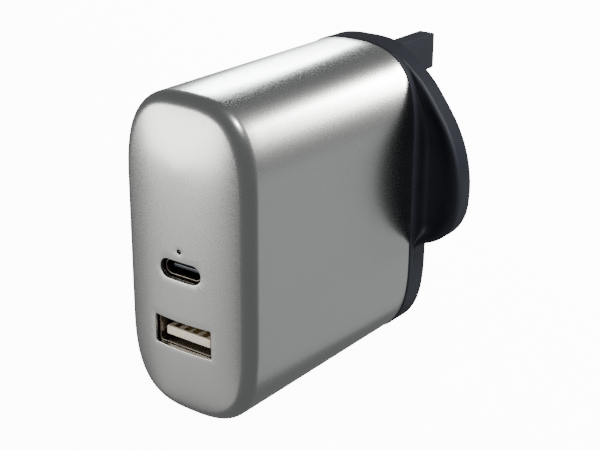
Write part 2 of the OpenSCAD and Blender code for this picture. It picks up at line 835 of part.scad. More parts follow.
module chip_capacitors() {
    color("#a58a66") for (k = [0 : 4])
        back_brick(front_row_y - 2 + 2.4 * k, 8.5, 1.25, 2, 0.9);
}

// the plate that spreads the switch's heat, and the soft pad under it
pad_t = 0.8;
spreader_t = 0.8;
spreader_l = 22;
switch_h = 1;

module thermal_pad() {
    color("#8fa7b8") brick(mid_row_y, 2, 10, 12, pad_t, board_back_x - switch_h - pad_t);
}

module heat_spreader() {
    color("#c3c6c8") brick(mid_row_y, 2, 24, spreader_l, spreader_t,
                           board_back_x - switch_h - pad_t - spreader_t);
}

module insulating_sheet() {
    half_h = body_h / 2 - arch_h + 2;
    color("#d9dcdc") brick((board_front_y + board_rear_y) / 2, 0, board_rear_y - board_front_y, 2 * half_h,
                           sheet_t, sheet_x);
}

module main_board() {
    color("#1f5b3a") difference() {
        block([board_back_x, board_front_y, -board_half_h - body_drop],
              [board_x, board_rear_y, board_half_h - body_drop]);
        usb_c_legs(leg_gap);
        usb_a_legs(leg_gap);
    }
}

main_shell();
rear_cover();
earth_pin();
line_pin();
neutral_pin();
line_pin_sleeve();
neutral_pin_sleeve();
line_contact();
neutral_contact();
main_board();
usb_c_shell();
usb_c_tongue();
usb_c_contacts();
usb_a_shell();
usb_a_tongue();
usb_a_contacts();
usb_a_contact_tails();
light_pipe();
status_led();
transformer_core();
transformer_bobbin();
transformer_winding();
transformer_tape();
bulk_capacitors();
output_capacitors();
x_capacitor();
y_capacitor();
choke_core();
choke_windings();
input_fuse();
varistor();
inrush_thermistor();
bridge_rectifier();
power_switch();
primary_controller();
optocoupler();
output_rectifier();
usb_controller();
output_inductor();
chip_resistors();
chip_capacitors();
thermal_pad();
heat_spreader();
insulating_sheet();
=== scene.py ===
"""Looks of a wall charger: a satin silver shell, a black plug base and two USB outlets."""
import math

import bmesh
import bpy
import numpy as np
from mathutils import Matrix, Vector
from mathutils.geometry import delaunay_2d_cdt


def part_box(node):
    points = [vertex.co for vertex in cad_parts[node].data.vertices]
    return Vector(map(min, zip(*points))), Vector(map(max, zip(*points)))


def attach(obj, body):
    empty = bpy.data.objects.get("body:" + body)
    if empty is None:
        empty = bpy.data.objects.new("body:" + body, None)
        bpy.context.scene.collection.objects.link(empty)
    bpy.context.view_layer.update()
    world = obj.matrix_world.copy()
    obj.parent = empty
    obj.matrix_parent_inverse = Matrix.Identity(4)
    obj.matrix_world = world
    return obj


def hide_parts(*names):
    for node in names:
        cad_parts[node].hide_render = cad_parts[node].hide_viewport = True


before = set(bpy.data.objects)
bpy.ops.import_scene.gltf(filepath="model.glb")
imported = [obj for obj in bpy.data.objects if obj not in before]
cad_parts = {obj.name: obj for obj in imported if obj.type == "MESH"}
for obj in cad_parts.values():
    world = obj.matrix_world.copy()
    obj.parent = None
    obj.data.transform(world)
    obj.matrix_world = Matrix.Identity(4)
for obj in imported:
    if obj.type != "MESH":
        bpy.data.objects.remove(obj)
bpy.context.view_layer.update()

# Shapes are made in millimetres, in the CAD's frame: +Y is the way the pins point, +Z is up.
MM = 0.001
CHARGER = "charger"


def mm_box(node):
    low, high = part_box(node)
    return low / MM, high / MM


# --- sizes read from the frame ---
SHELL_LOW, SHELL_HIGH = mm_box("main_shell")
COVER_LOW, COVER_HIGH = mm_box("rear_cover")
EARTH_LOW, EARTH_HIGH = mm_box("earth_pin")
USB_A_LOW, USB_A_HIGH = mm_box("usb_a_shell")
USB_C_LOW, USB_C_HIGH = mm_box("usb_c_shell")
PIPE_LOW, PIPE_HIGH = mm_box("light_pipe")
HALF_W = SHELL_HIGH.x
HALF_H = (SHELL_HIGH.z - SHELL_LOW.z) / 2
MID_Z = (SHELL_HIGH.z + SHELL_LOW.z) / 2
APEX_Y = SHELL_LOW.y
SEAM_Y = SHELL_HIGH.y
PLUG_Y = COVER_HIGH.y
BAND_STEP = (COVER_HIGH.z - COVER_LOW.z) / 2 - HALF_H
WING_X = COVER_HIGH.x

# --- sizes of the shell that the frame's boxes don't give ---
# height and roundness of the arch at each end of the body's outline
ARCH_H = 20.0
ARCH_N = 2.9
# how far the front's middle stands out, and the round between the front and the sides
CROWN = 1.6
EDGE_R = 3.2
WALL = 2.0
FRONT_WALL = 1.7
EDGE_Y = APEX_Y + CROWN
# openings' widths and heights, the round of the larger one's corners and the pinhole's width
USB_A_OPENING = (13.8, 5.8)
USB_C_OPENING = (9.8, 3.8)
USB_A_CORNER = 0.25
PINHOLE_D = 1.0


# --- mesh helpers ---

# points closer than these are one point: while a piece is made, and when it is done
MERGE_GAP = 1e-4
FINAL_MERGE_GAP = 2e-4
# edges bent by more than this many degrees stay sharp
SHARP_ANGLE = 32


class Solid:
    """Collects points and faces, and makes one object of them that is still in millimetres."""

    def __init__(self):
        self.points = []
        self.faces = []

    def ring(self, points):
        first = len(self.points)
        self.points += [tuple(p) for p in points]
        return list(range(first, len(self.points)))

    def bridge(self, a, b):
        n = len(a)
        for i in range(n):
            j = (i + 1) % n
            self.faces.append((a[i], a[j], b[j], b[i]))

    def cap(self, ring, flip=False):
        self.faces.append(tuple(reversed(ring)) if flip else tuple(ring))

    def loft(self, rings, capped=True):
        ids = [self.ring(r) for r in rings]
        for a, b in zip(ids, ids[1:]):
            self.bridge(a, b)
        if capped:
            self.cap(ids[0], flip=True)
            self.cap(ids[-1])

    def make(self, name):
        mesh = bpy.data.meshes.new(name)
        mesh.from_pydata(self.points, [], self.faces)
        bm = bmesh.new()
        bm.from_mesh(mesh)
        bmesh.ops.remove_doubles(bm, verts=bm.verts, dist=MERGE_GAP)
        bmesh.ops.recalc_face_normals(bm, faces=bm.faces)
        bm.to_mesh(mesh)
        bm.free()
        obj = bpy.data.objects.new(name, mesh)
        bpy.context.scene.collection.objects.link(obj)
        return obj


def modify(obj, kind, **settings):
    """Adds a modifier, applies it and returns the object."""
    mod = obj.modifiers.new(kind.lower(), kind)
    for key, value in settings.items():
        setattr(mod, key, value)
    bpy.context.view_layer.objects.active = obj
    depsgraph = bpy.context.evaluated_depsgraph_get()
    mesh = bpy.data.meshes.new_from_object(obj.evaluated_get(depsgraph))
    obj.modifiers.clear()
    old = obj.data
    obj.data = mesh
    bpy.data.meshes.remove(old)
    return obj


def combine(obj, others, operation):
    """Joins other pieces to a piece or cuts them out of it, and uses them up."""
    for other in others:
        modify(obj, "BOOLEAN", object=other, operation=operation, solver="MANIFOLD")
        bpy.data.objects.remove(other)
    return obj


def smooth(obj):
    """Turns a piece from millimetres to metres and shades it smooth but for its sharp edges."""
    bm = bmesh.new()
    bm.from_mesh(obj.data)
    bmesh.ops.remove_doubles(bm, verts=bm.verts, dist=FINAL_MERGE_GAP)
    bmesh.ops.dissolve_degenerate(bm, edges=bm.edges, dist=FINAL_MERGE_GAP)
    bmesh.ops.scale(bm, vec=(MM, MM, MM), verts=bm.verts)
    for face in bm.faces:
        face.smooth = True
    for edge in bm.edges:
        edge.smooth = edge.is_manifold and edge.calc_face_angle(0) < math.radians(SHARP_ANGLE)
    bm.to_mesh(obj.data)
    bm.free()
    return obj


def quarter_turn(steps, first=0):
    """Angles over a quarter turn, for the rings of a round."""
    return [math.pi / 2 * k / steps for k in range(first, steps + 1)]


# --- outlines, as lists of (x, z) about the body's middle ---

# spacing of the points along the body's outline
OUTLINE_SPACING = 0.8


def outline_keys(steps, side_steps):
    """Where the body's outline is sampled: an angle on an arch, or a share of a straight side."""
    keys = []
    for half in (0, 180):
        for k in range(1, 2 * steps):
            keys.append(("arch", half + 90 * k / steps))
        sign = -1 if half == 0 else 1
        for k in range(side_steps + 1):
            keys.append(("side", sign, 1 - 2 * k / side_steps if half == 0 else 2 * k / side_steps - 1))
    return keys


def outline_point(grow, key):
    """A point of the body's outline, grown outwards."""
    a, rz = HALF_W + grow, ARCH_H + grow
    straight = HALF_H - ARCH_H
    if key[0] == "side":
        return key[1] * a, key[2] * straight
    t = math.radians(key[1])
    c, s = math.cos(t), math.sin(t)
    x = a * math.copysign(abs(c) ** (2 / ARCH_N), c)
    z = math.copysign(straight + rz * abs(s) ** (2 / ARCH_N), s)
    return x, z


def even_keys(spacing):
    """Outline keys at an even spacing in millimetres."""
    fine = outline_keys(400, 100)
    points = np.array([outline_point(0, k) for k in fine])
    steps = np.linalg.norm(np.roll(points, -1, axis=0) - points, axis=1)
    walked = np.concatenate([[0], np.cumsum(steps)])
    count = int(walked[-1] / spacing / 4) * 4
    picks = np.searchsorted(walked[:-1], np.arange(count) * walked[-1] / count)
    return [fine[i] for i in picks]


KEYS = even_keys(OUTLINE_SPACING)


def outline(grow):
    return [outline_point(grow, key) for key in KEYS]


def at_depth(points, y):
    """An outline about the body's middle as (x, y, z) at a depth."""
    return [(x, y, z + MID_Z) for x, z in points]


def rounded_rectangle(w, h, r, grow=0.0, steps=6):
    r, w, h = r + grow, w + 2 * grow, h + 2 * grow
    points = []
    for cx, cz, start in ((1, 1, 0), (-1, 1, 90), (-1, -1, 180), (1, -1, 270)):
        for k in range(steps + 1):
            t = math.radians(start + 90 * k / steps)
            points.append((cx * (w / 2 - r) + r * math.cos(t), cz * (h / 2 - r) + r * math.sin(t)))
    return points


def stadium(w, h, grow=0.0, steps=14):
    return rounded_rectangle(w, h, h / 2 - 1e-4, grow, steps)


def circle(d, grow=0.0, steps=32):
    r = d / 2 + grow
    return [(r * math.cos(math.tau * k / steps), r * math.sin(math.tau * k / steps)) for k in range(steps)]


def moved(points, x, z):
    return [(px + x, pz + z) for px, pz in points]


def densified(points, step):
    """The same closed outline with points no further apart than the step."""
    out = []
    for (x0, z0), (x1, z1) in zip(points, points[1:] + points[:1]):
        n = max(1, math.ceil(math.hypot(x1 - x0, z1 - z0) / step))
        out += [(x0 + (x1 - x0) * k / n, z0 + (z1 - z0) * k / n) for k in range(n)]
    return out


def inside(points, x, z):
    hit = False
    for (x0, z0), (x1, z1) in zip(points, points[1:] + points[:1]):
        if (z0 > z) != (z1 > z) and x < x0 + (z - z0) * (x1 - x0) / (z1 - z0):
            hit = not hit
    return hit


def fill(outer, holes, spacing):
    """Triangles that fill an outline around its holes, with a grid of points inside."""
    loops = [outer] + holes
    coords, edges = [], []
    for loop in loops:
        first = len(coords)
        coords += loop
        edges += [(first + i, first + (i + 1) % len(loop)) for i in range(len(loop))]
    fixed = np.array(coords)
    low, high = fixed.min(axis=0), fixed.max(axis=0)
    rows = int((high[1] - low[1]) / (spacing * 0.866)) + 1
    for row in range(rows):
        z = low[1] + row * spacing * 0.866
        x = low[0] + (row % 2) * spacing / 2
        while x < high[0]:
            near = np.min(np.hypot(fixed[:, 0] - x, fixed[:, 1] - z))
            if near > 0.6 * spacing and inside(outer, x, z) and not any(inside(h, x, z) for h in holes):
                coords.append((x, z))
            x += spacing
    found = delaunay_2d_cdt([Vector(c) for c in coords], edges, [], 0, 1e-6)
    points = [tuple(v) for v in found[0]]
    faces = []
    for face in found[2]:
        x = sum(points[i][0] for i in face) / len(face)
        z = sum(points[i][1] for i in face) / len(face)
        if inside(outer, x, z) and not any(inside(h, x, z) for h in holes):
            faces.append(tuple(face))
    return points, faces


# --- the silver shell ---

CROWN_SLOPE = math.atan(2 * CROWN / (HALF_W - EDGE_R))
ROUND_IN = EDGE_R * (1 - math.sin(CROWN_SLOPE))
ROUND_Y = EDGE_Y + EDGE_R * (1 - math.cos(CROWN_SLOPE))


def inset_at(x, z):
    """How far inside the body's outline a point of the front lies."""
    low, high = 0.0, HALF_W - 0.01
    over = max(abs(z) - (HALF_H - ARCH_H), 0.0)
    for _ in range(40):
        mid = (low + high) / 2
        if (abs(x) / (HALF_W - mid)) ** ARCH_N + (over / (ARCH_H - mid)) ** ARCH_N > 1:
            high = mid
        else:
            low = mid
    return low


def front_y(x, z, deeper=0.0):
    """Height of the crowned front face over a point, or of a face that much deeper."""
    room = HALF_W - ROUND_IN
    share = max(0.0, 1 - (inset_at(x, z) - ROUND_IN) / room)
    return ROUND_Y - math.tan(CROWN_SLOPE) * room / 2 * (1 - share * share) + deeper


# small round at the front of each opening, and the pinhole's share of it
OPENING_FILLET = 0.15
PINHOLE_SHARE = 0.4
PINHOLE = 2
# round of the shell's rim at the seam
RIM_ROUND = 0.3
# spacing of the points on the front face and on the face behind it
FACE_SPACING = 1.1
BACK_SPACING = 2.4
INNER_FRONT = EDGE_Y + FRONT_WALL


def shell_openings(grow):
    """The outlines of the USB-A opening, the USB-C opening and the pinhole."""
    usb_a_z = (USB_A_LOW.z + USB_A_HIGH.z) / 2 - MID_Z
    usb_c_z = (USB_C_LOW.z + USB_C_HIGH.z) / 2 - MID_Z
    led_z = (PIPE_LOW.z + PIPE_HIGH.z) / 2 - MID_Z
    return [
        densified(moved(rounded_rectangle(*USB_A_OPENING, USB_A_CORNER, grow), 0, usb_a_z), OUTLINE_SPACING),
        densified(moved(stadium(*USB_C_OPENING, grow), 0, usb_c_z), OUTLINE_SPACING),
        moved(circle(PINHOLE_D, grow * PINHOLE_SHARE), 0, led_z),
    ]


def shell_outside():
    """Rings of the rounded front edge, the sides and the rim at the seam."""
    rings = []
    for t in np.linspace(CROWN_SLOPE, math.pi / 2, 13):
        rings.append(at_depth(outline(-EDGE_R + EDGE_R * math.sin(t)), EDGE_Y + EDGE_R * (1 - math.cos(t))))
    for y in np.linspace(EDGE_Y + EDGE_R, SEAM_Y - RIM_ROUND, 24)[1:]:
        rings.append(at_depth(outline(0), y))
    for t in quarter_turn(4, 1):
        edge = outline(-RIM_ROUND + RIM_ROUND * math.cos(t))
        rings.append(at_depth(edge, SEAM_Y - RIM_ROUND + RIM_ROUND * math.sin(t)))
    return rings


def shell_inside():
    """Rings of the inside, from the seam to the face behind the front."""
    inner_r = EDGE_R - WALL
    rings = [at_depth(outline(-WALL), SEAM_Y), at_depth(outline(-WALL), INNER_FRONT + inner_r)]
    for t in reversed(quarter_turn(4)[:-1]):
        edge = outline(-EDGE_R + inner_r * math.sin(t))
        rings.append(at_depth(edge, INNER_FRONT + inner_r * (1 - math.cos(t))))
    return rings


def opening_wall(number, deeper):
    """Rings of an opening's wall, from the front face to the face behind it."""
    wide = shell_openings(OPENING_FILLET)[number]
    share = PINHOLE_SHARE if number == PINHOLE else 1
    rings = []
    for t in quarter_turn(4):
        loop = shell_openings(OPENING_FILLET * (1 - math.sin(t)))[number]
        depth = OPENING_FILLET * (1 - math.cos(t)) * share
        rings.append([(x, front_y(*w) + depth, z + MID_Z) for (x, z), w in zip(loop, wide)])
    rings.append([(x, front_y(x, z, deeper), z + MID_Z) for x, z in shell_openings(0)[number]])
    return rings


def make_main_shell():
    solid = Solid()
    edge = outline(-ROUND_IN)
    points, faces = fill(edge, shell_openings(OPENING_FILLET), FACE_SPACING)
    ids = solid.ring([(x, front_y(x, z), z + MID_Z) for x, z in points])
    solid.faces += [tuple(ids[i] for i in face) for face in faces]
    solid.loft(shell_outside() + shell_inside(), capped=False)
    inner_edge = outline(-EDGE_R)
    deeper = INNER_FRONT - front_y(*inner_edge[0])
    points, faces = fill(inner_edge, shell_openings(0), BACK_SPACING)
    ids = solid.ring([(x, front_y(x, z, deeper), z + MID_Z) for x, z in points])
    solid.faces += [tuple(ids[i] for i in reversed(face)) for face in faces]
    for number in range(len(shell_openings(0))):
        solid.loft(opening_wall(number, deeper), capped=False)
    return solid.make("shell_silver")


# --- the black rear cover ---

# the wing's outline: a large shoulder arc, a straight flank above it and a small heel arc below it
SHOULDER_R = 28.0
SHOULDER_Z = 0.4
FLANK_LEAN = 36.0
HEEL_R = 11.0
HEEL_FROM = -7.0
HEEL_TO = -71.0
# the plug base's thickness, its wall at the plug face and the spigot inside the shell
BASE_T = 5.0
BASE_WALL = 2.4
SPIGOT_D = 4.0
SPIGOT_T = 1.4
SPIGOT_GAP = 0.1
PIN_PITCH = 22.2
# the finger groove in the wing's front: where it starts, its depth and the fillet at its foot
GROOVE_TOP = 28.0
GROOVE_DEEP = 3.1
GROOVE_FILLET = 1.3
# the groove is full depth over this share of its height, and only where the wing is this wide
GROOVE_RUN = 0.5
GROOVE_FULL_WIDTH = 7.0
# shares of the way across the groove that its inner wall and its foot's fillet take
GROOVE_WALL = 0.12
GROOVE_BEND = 0.42
GROOVE_SWEEP = 1.4
BAND_ROUND = 0.25
SEAM_GAP = 0.02
# how the corners between the band and the wing are blended: reach and rounds of smoothing
TOP_BLEND = (5.0, 220)
FOOT_BLEND = (1.6, 60)


def circle_x(z, cx, cz, r):
    """The right side of a circle at a height."""
    return cx + math.sqrt(max(r * r - (z - cz) ** 2, 0.0))


def wing_edge(z):
    """The wing's outline at a height about the body's middle: its x and its outward normal's angle."""
    sx, sz = WING_X - SHOULDER_R, SHOULDER_Z - MID_Z
    lean, heel_from, heel_to = (math.radians(v) for v in (FLANK_LEAN, HEEL_FROM, HEEL_TO))
    top = HALF_H + BAND_STEP
    off = sx * math.cos(lean) + sz * math.sin(lean) + SHOULDER_R
    brow_r = (off - top * math.sin(lean)) / (1 - math.sin(lean))
    brow_z = top - brow_r
    hx = sx + (SHOULDER_R - HEEL_R) * math.cos(heel_from)
    hz = sz + (SHOULDER_R - HEEL_R) * math.sin(heel_from)
    if z > brow_z + brow_r * math.sin(lean):
        return circle_x(z, 0, brow_z, brow_r), math.asin(min(1, (z - brow_z) / brow_r))
    if z > sz + SHOULDER_R * math.sin(lean):
        return (off - z * math.sin(lean)) / math.cos(lean), lean
    if z > hz + HEEL_R * math.sin(heel_from):
        return circle_x(z, sx, sz, SHOULDER_R), math.asin((z - sz) / SHOULDER_R)
    if z > hz + HEEL_R * math.sin(heel_to):
        return circle_x(z, hx, hz, HEEL_R), math.asin((z - hz) / HEEL_R)
    end_x, end_z = hx + HEEL_R * math.cos(heel_to), hz + HEEL_R * math.sin(heel_to)
    return end_x + (z - end_z) / math.tan(heel_to + math.pi / 2), heel_to


def band_edge(z, grow=0.0):
    """The band's side at a height about the body's middle."""
    over = max(abs(z) - (HALF_H - ARCH_H), 0.0) / (ARCH_H + BAND_STEP + grow)
    return (HALF_W + BAND_STEP + grow) * max(1 - over ** ARCH_N, 0.0) ** (1 / ARCH_N)


def ease(t):
    """A smooth step from 0 to 1."""
    t = min(max(t, 0.0), 1.0)
    return t * t * (3 - 2 * t)


# where the wing leaves the band, below and above
FOOT_Z = next(z for z in np.arange(-20, 0, 0.01) if wing_edge(z)[0] > band_edge(z))
TOP_Z = next(z for z in np.arange(32, 20, -0.01) if wing_edge(z)[0] > band_edge(z))
# rounds of the rim's front and rear edges
FRONT_ROUND = 0.7
REAR_ROUND = 0.7


def groove_point(u, z, width):
    """The finger groove's profile from the band out to the rim: what share of the way, and how deep."""
    along = (GROOVE_TOP - z) / (GROOVE_TOP - FOOT_Z)
    deep = GROOVE_DEEP * ease(along / GROOVE_RUN) * ease(width / GROOVE_FULL_WIDTH) if width > 0.01 else 0.0
    fillet = min(GROOVE_FILLET, 0.25 * width, deep)
    if deep == 0.0:
        return max(0.0, (u - GROOVE_WALL) / (1 - GROOVE_WALL)), 0.0
    if u <= GROOVE_WALL:
        return 0.0, (deep - fillet) * u / GROOVE_WALL
    if u <= GROOVE_BEND:
        t = math.pi / 2 * (u - GROOVE_WALL) / (GROOVE_BEND - GROOVE_WALL)
        return fillet * (1 - math.cos(t)) / width, deep - fillet * (1 - math.sin(t))
    q = (u - GROOVE_BEND) / (1 - GROOVE_BEND)
    share = fillet / width
    return share + (1 - share) * q, deep * math.cos(math.pi / 2 * q ** GROOVE_SWEEP) ** 2


def cover_heights():
    """Heights at which the wing's part of the outline is sampled, from its foot to its top."""
    return np.concatenate([
        np.linspace(FOOT_Z, FOOT_Z + 3, 30), np.linspace(FOOT_Z + 3, FOOT_Z + 8, 20)[1:],
        np.linspace(FOOT_Z + 8, TOP_Z - 5, 46)[1:], np.linspace(TOP_Z - 5, TOP_Z, 16)[1:]])


def soften(points, centre, reach, rounds):
    """Turns a corner of a run of points into a smooth curve."""
    share = np.exp(-np.sum((points - centre) ** 2, axis=1) / reach ** 2)[1:-1, None]
    for _ in range(rounds):
        points[1:-1] += 0.5 * share * ((points[:-2] + points[2:]) / 2 - points[1:-1])
    return points


def cover_sides():
    """The cover's right side from the bottom upwards: the band's outline and the rim's, point by point."""
    low = [("arch", 270 + 90 * k / 40) for k in range(40)]
    low += [("side", 1, z / (HALF_H - ARCH_H)) for z in np.linspace(-(HALF_H - ARCH_H), FOOT_Z - 0.05, 12)]
    high = [("arch", 90 * k / 240) for k in range(241)]
    high = [key for key in high if outline_point(BAND_STEP, key)[1] > TOP_Z + 0.05][::2]
    if high[-1] != ("arch", 90):
        high.append(("arch", 90))
    wing = cover_heights()
    band = [outline_point(BAND_STEP, key) for key in low] + [(band_edge(z), z) for z in wing] + \
        [outline_point(BAND_STEP, key) for key in high]
    rim = band[:len(low)] + [(wing_edge(z)[0], z) for z in wing] + band[len(low) + len(wing):]
    band, rim = np.array(band), np.array(rim)
    rim = soften(rim, (band_edge(TOP_Z), TOP_Z), *TOP_BLEND)
    return band, soften(rim, (band_edge(FOOT_Z), FOOT_Z), *FOOT_BLEND)


BAND, RIM = cover_sides()
ALONG = np.gradient(RIM, axis=0)
ALONG[0], ALONG[-1] = (1, 0), (-1, 0)
OUTWARD = np.stack([ALONG[:, 1], -ALONG[:, 0]], axis=1)
OUTWARD /= np.linalg.norm(OUTWARD, axis=1, keepdims=True)
WIDTHS = np.linalg.norm(RIM - BAND, axis=1)
ROUNDS = np.minimum(FRONT_ROUND, 0.4 * WIDTHS)


def cover_ring(right):
    """A closed ring from the right side's (x, y, z), with the left side as its mirror."""
    right = [(x, y, z + MID_Z) for x, y, z in right]
    return right + [(-x, y, z) for x, y, z in right[-2:0:-1]]


def band_ring(inset, y):
    """A ring on the band, in from it at a right angle."""
    along = np.gradient(BAND, axis=0)
    along[0], along[-1] = (1, 0), (-1, 0)
    inward = np.stack([-along[:, 1], along[:, 0]], axis=1) / np.linalg.norm(along, axis=1, keepdims=True)
    return cover_ring([(x, y, z) for x, z in BAND + inset * inward])


def wing_front(u):
    """A ring of the wing's front face, a share of the way from the band to the rim."""
    right = []
    for start, end, out, r in zip(BAND, RIM, OUTWARD, ROUNDS):
        end = end - r * out
        width = np.linalg.norm(end - start)
        share, deep = groove_point(u, start[1], width)
        x, z = start + (end - start) * share
        right.append((x, PLUG_Y - BASE_T + deep, z))
    return cover_ring(right)


def wing_rim(inset, rounds, y):
    """A ring of the rim's edge, set in by a share of its rounds."""
    points = RIM - np.reshape(inset * rounds, (-1, 1)) * OUTWARD
    return cover_ring([(x, y, z) for x, z in points])


def make_cover_outside():
    rings = []
    for t in quarter_turn(4):
        y = SEAM_Y + SEAM_GAP + BAND_ROUND * (1 - math.cos(t))
        rings.append(band_ring(BAND_ROUND * (1 - math.sin(t)), y))
    across = np.concatenate([np.linspace(0, GROOVE_WALL, 3), np.linspace(GROOVE_WALL, GROOVE_BEND, 10)[1:],
                             np.linspace(GROOVE_BEND, 1, 26)[1:]])
    rings += [wing_front(u) for u in across]
    for t in quarter_turn(5, 1):
        rings.append(wing_rim(1 - math.sin(t), ROUNDS, PLUG_Y - BASE_T + FRONT_ROUND * (1 - math.cos(t))))
    rear_rounds = REAR_ROUND * np.ones(len(RIM))
    for t in quarter_turn(5):
        rings.append(wing_rim(1 - math.cos(t), rear_rounds, PLUG_Y - REAR_ROUND * (1 - math.sin(t))))
    solid = Solid()
    solid.loft(rings)
    return solid.make("cover_black")


def prism(points, from_y, to_y):
    solid = Solid()
    solid.loft([at_depth(points, from_y), at_depth(points, to_y)])
    return solid.make("prism")


def bar(x, z, w, h, from_y, to_y):
    """A rectangular bar along Y, placed from the live pins' line."""
    return prism(moved(rounded_rectangle(w, h, 0.05, steps=2), x, z - MID_Z), from_y, to_y)


# holes for a live pin: where its sleeve sits, where its neck passes, and where its tail comes out
SLEEVE_HOLE = (6.45, 4.1)
SLEEVE_HOLE_D = 1.05
NECK_HOLE = (5.65, 3.3)
NECK_HOLE_D = 5.25
TAIL_HOLE = (2.5, 1.3)
TAIL_HOLE_D = 12.0
TAIL_IN = 1.6
BOSS = (9.35, 7.0)
BOSS_D = 8.0
EARTH_PIN = (4.0, 8.0)
EARTH_PIN_GAP = 0.1
# the earth pin's flange reaches this far below the pin
FLANGE_DROP = 1.0
FLANGE_W = 6.0
EARTH_PIN_Z = (EARTH_LOW.z + FLANGE_DROP + EARTH_HIGH.z) / 2


def make_rear_cover():
    cover = make_cover_outside()
    spigot = prism(outline(-WALL - SPIGOT_GAP), SEAM_Y - SPIGOT_D, SEAM_Y + 1)
    combine(cover, [spigot], "UNION")
    hollow = prism(outline(-WALL - SPIGOT_GAP - SPIGOT_T), SEAM_Y - SPIGOT_D - 1, PLUG_Y - BASE_WALL)
    bosses = [bar(side * PIN_PITCH / 2, 0, *BOSS, PLUG_Y - BOSS_D, PLUG_Y) for side in (-1, 1)]
    combine(hollow, bosses, "DIFFERENCE")
    holes = []
    for side in (-1, 1):
        x = side * PIN_PITCH / 2
        holes.append(bar(x, 0, *SLEEVE_HOLE, PLUG_Y - SLEEVE_HOLE_D, PLUG_Y + 1))
        holes.append(bar(x, 0, *NECK_HOLE, PLUG_Y - NECK_HOLE_D, PLUG_Y - 0.9))
        holes.append(bar(x - side * TAIL_IN, 0, *TAIL_HOLE, PLUG_Y - TAIL_HOLE_D, PLUG_Y - 5))
    earth_w, earth_h = (size + EARTH_PIN_GAP for size in EARTH_PIN)
    holes.append(bar(0, EARTH_PIN_Z, earth_w, earth_h, PLUG_Y - 4, PLUG_Y + 1))
    return combine(cover, [hollow] + holes, "DIFFERENCE")


def make_earth_pin():
    """The black earth pin, with softly rounded edges and a flange inside the cover."""
    edge_r, tip = 0.28, 0.25
    z = EARTH_PIN_Z - MID_Z
    section = moved(rounded_rectangle(*EARTH_PIN, edge_r), 0, z)
    rings = [at_depth(section, -BASE_WALL)]
    rings += [at_depth(section, y) for y in np.linspace(0, EARTH_HIGH.y - tip, 6)]
    for t in quarter_turn(5, 1):
        end = rounded_rectangle(*EARTH_PIN, edge_r + tip * 0.3, -tip * (1 - math.cos(t)))
        rings.append(at_depth(moved(end, 0, z), EARTH_HIGH.y - tip + tip * math.sin(t)))
    solid = Solid()
    solid.loft(rings)
    pin = solid.make("earth_pin_black")
    flange = rounded_rectangle(FLANGE_W, EARTH_HIGH.z - EARTH_LOW.z, 0.4)
    flange_z = (EARTH_LOW.z + EARTH_HIGH.z) / 2 - MID_Z
    return combine(pin, [prism(moved(flange, 0, flange_z), EARTH_LOW.y, -BASE_WALL)], "UNION")


# --- the outlets' receptacles ---

# legs of the steel shells, which go into the board, and where they stand from the mouth and the rear
LEG_T = 0.3
LEG_W = 1.2
LEG_FRONT = 5.5
LEG_REAR = 1.5
# sections of the shells and thickness of their sheet
USB_A_TUBE = (13.0, 5.6, 0.5)
USB_A_SHEET = 0.25
USB_C_TUBE = (8.94, 3.16)
USB_C_SHEET = 0.3
# slots around the USB-A shell's leaves
LEAF_X = 3.0
LEAF_W = 2.2
LEAF_D = 4.5
LEAF_FROM = 2.4
LEAF_SLOT = 0.4
LEAF_CUT_H = 12.0
# the tongues: width and thickness, depth of the block behind them, and height of the USB-A one's top
USB_A_BLADE = (11.1, 1.84)
USB_A_BLADE_TOP = 0.2
USB_A_BLOCK_D = 3.2
USB_C_BLADE = (6.7, 0.7)
USB_C_NECK = (7.3, 1.2)
USB_C_NECK_D = 2.6
USB_C_BLOCK_D = 3.0
# the USB-A springs' places and slots, and the way through the block for their tails
SPRING_X = (-3.5, -1.0, 1.0, 3.5)
SPRING_SLOT = (1.3, 1.94)
SPRING_SLOT_Z = 0.03
SPRING_ROOT_Z = -0.24
TAIL_SLOT = (1.02, 0.27)
# the USB-C contacts' places on the tongue
CONTACT_PITCH = 0.5
CONTACT_SLOT = (0.26, 0.12)
CONTACT_IN = 0.045
CONTACT_FROM = 0.8
# how far pieces run into each other before they are joined
OVERLAP = 0.1


def middle_z(low, high):
    """The middle of a box above the live pins' line."""
    return (low.z + high.z) / 2


def make_tube(name, section, low, high, sheet, leg_heights):
    """A sheet-metal tube with a rounded lip and with legs towards the board."""
    z = middle_z(low, high)
    rings = [at_depth(moved(section(0), 0, z - MID_Z), high.y)]
    for t in np.linspace(0, math.pi, 9):
        lip = moved(section(-sheet / 2 * (1 - math.cos(t))), 0, z - MID_Z)
        rings.append(at_depth(lip, low.y + sheet / 2 * (1 - math.sin(t))))
    rings.append(at_depth(moved(section(-sheet), 0, z - MID_Z), high.y))
    rings.append(rings[0])
    solid = Solid()
    solid.loft(rings, capped=False)
    tube = solid.make(name)
    leg_end = -high.x + OVERLAP
    leg_x, leg_l = (low.x + leg_end) / 2, leg_end - low.x
    legs = []
    for y in (low.y + LEG_FRONT, high.y - LEG_REAR):
        for leg_z in leg_heights:
            legs.append(bar(leg_x, z + leg_z, leg_l, LEG_T, y - LEG_W / 2, y + LEG_W / 2))
    return combine(tube, legs, "UNION")


